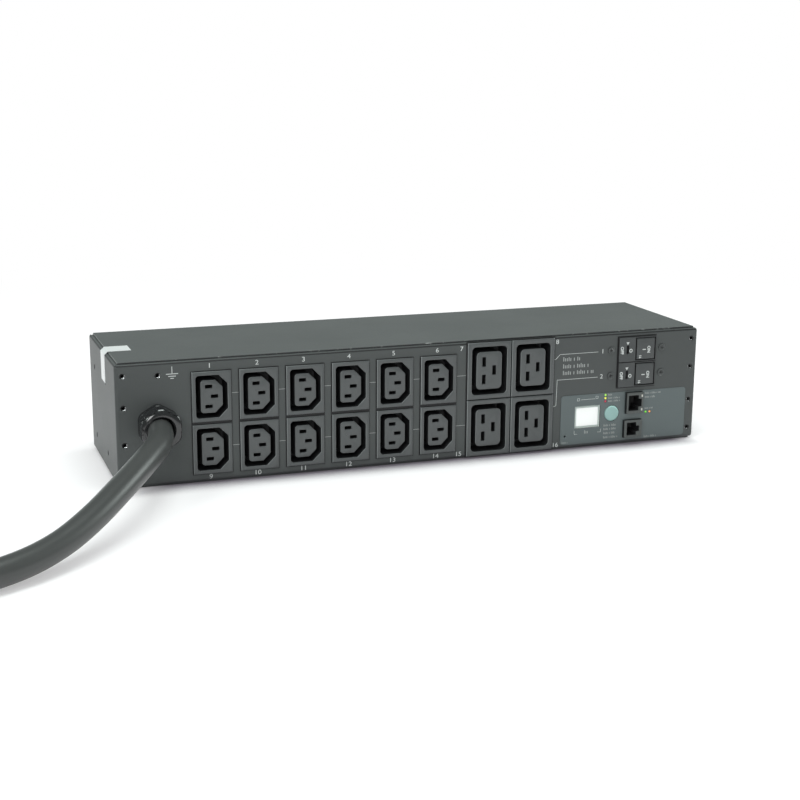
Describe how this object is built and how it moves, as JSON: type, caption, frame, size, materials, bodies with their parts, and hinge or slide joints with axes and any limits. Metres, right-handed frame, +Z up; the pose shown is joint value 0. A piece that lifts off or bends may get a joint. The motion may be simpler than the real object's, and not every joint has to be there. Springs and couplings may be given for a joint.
{
  "type": "rack power distribution unit",
  "caption": "Low wide sheet steel box with rows of recessed power outlets, two breakers, a meter panel and a thick supply cord, for sharing one feed among rack equipment.",
  "frame": {"origin": "on the floor, under the middle of the housing", "axes": "+X to the right of someone facing the outlets, along the housing's width; +Y to the back; +Z up"},
  "size_m": [0.8101, 0.3498, 0.0882],
  "materials": {
    "housing_paint": "fine texture paint",
    "zinc_steel": "zinc plated",
    "black_steel": "black coated",
    "brass_strip": "stamped",
    "breaker_plastic": "moulded",
    "rocker_plastic": "moulded",
    "tinned_metal": "tinned",
    "overlay_film": "printed film",
    "display_white": "lens",
    "button_film": "moulded",
    "led_lens": "clear tint",
    "jack_plastic": "moulded",
    "gold_contact": "plated",
    "board_green": "solder mask",
    "gland_plastic": "moulded",
    "seal_rubber": "soft",
    "cord_rubber": "smooth sheath",
    "tie_fabric": "woven strap",
    "plug_grey": "moulded",
    "plug_blue": "moulded",
    "brass_pin": "turned",
    "terminal_plastic": "moulded",
    "wire_sleeve": "insulation",
    "core_steel": "laminated",
    "sensor_plastic": "moulded",
    "seal_film": "foil strip",
    "outlet_plastic": "moulded"
  },
  "bodies": {
    "housing": {"base_plate": "housing_paint", "base_rivets": "zinc_steel", "board_screws": "zinc_steel", "board_standoffs": "zinc_steel", "board_switches": "breaker_plastic", "breaker_1_body": "breaker_plastic", "breaker_2_body": "breaker_plastic", "breaker_screws": "black_steel", "breaker_terminals": "tinned_metal", "c13_outlet_01": "outlet_plastic", "c13_outlet_02": "outlet_plastic", "c13_outlet_03": "outlet_plastic", "c13_outlet_04": "outlet_plastic", "c13_outlet_05": "outlet_plastic", "c13_outlet_06": "outlet_plastic", "c13_outlet_09": "outlet_plastic", "c13_outlet_10": "outlet_plastic", "c13_outlet_11": "outlet_plastic", "c13_outlet_12": "outlet_plastic", "c13_outlet_13": "outlet_plastic", "c13_outlet_14": "outlet_plastic", "c19_outlet_07": "outlet_plastic", "c19_outlet_08": "outlet_plastic", "c19_outlet_15": "outlet_plastic", "c19_outlet_16": "outlet_plastic", "chassis_wrap": "housing_paint", "clinch_nuts": "zinc_steel", "coil_ties": "tie_fabric", "control_board": "board_green", "control_overlay": "overlay_film", "cord_coil": "cord_rubber", "cord_tail": "cord_rubber", "cover_screws": "black_steel", "current_sensors": "sensor_plastic", "display_module": "display_white", "earth_busbars": "brass_strip", "gland_body": "gland_plastic", "gland_cap_nut": "gland_plastic", "gland_locknut": "gland_plastic", "gland_seal": "seal_rubber", "hookup_wires": "wire_sleeve", "indicator_leds": "led_lens", "jack_contacts": "gold_contact", "line_busbars": "brass_strip", "network_jack": "jack_plastic", "neutral_busbars": "brass_strip", "plug_cord_nut": "plug_grey", "plug_insert": "plug_grey", "plug_pins": "brass_pin", "plug_shell": "plug_blue", "seal_strip": "seal_film", "serial_jack": "jack_plastic", "supply_cord": "cord_rubber", "supply_transformer": "core_steel", "terminal_block": "terminal_plastic", "top_cover": "housing_paint"},
    "rocker_1": {"breaker_1_rocker": "rocker_plastic"},
    "rocker_2": {"breaker_2_rocker": "rocker_plastic"},
    "view_cap": {"view_button": "button_film"},
    "reset_plunger": {"reset_button": "breaker_plastic"}
  },
  "joints": [
    {"name": "breaker_1_switch", "type": "hinge", "parent": "housing", "child": "rocker_1", "pos_m": [0.16805, -0.0561, 0.0738], "axis": [0, 0, 1], "range_deg": [-12, 0]},
    {"name": "breaker_2_switch", "type": "hinge", "parent": "housing", "child": "rocker_2", "pos_m": [0.16805, -0.0561, 0.0544], "axis": [0, 0, 1], "range_deg": [-12, 0]},
    {"name": "view_button_press", "type": "slide", "parent": "housing", "child": "view_cap", "axis": [0, 1, 0], "range_m": [0, 0.0008], "stiffness_N_per_m": 1500},
    {"name": "reset_button_press", "type": "slide", "parent": "housing", "child": "reset_plunger", "axis": [0, 1, 0], "range_m": [0, 0.0005], "stiffness_N_per_m": 1500}
  ]
}
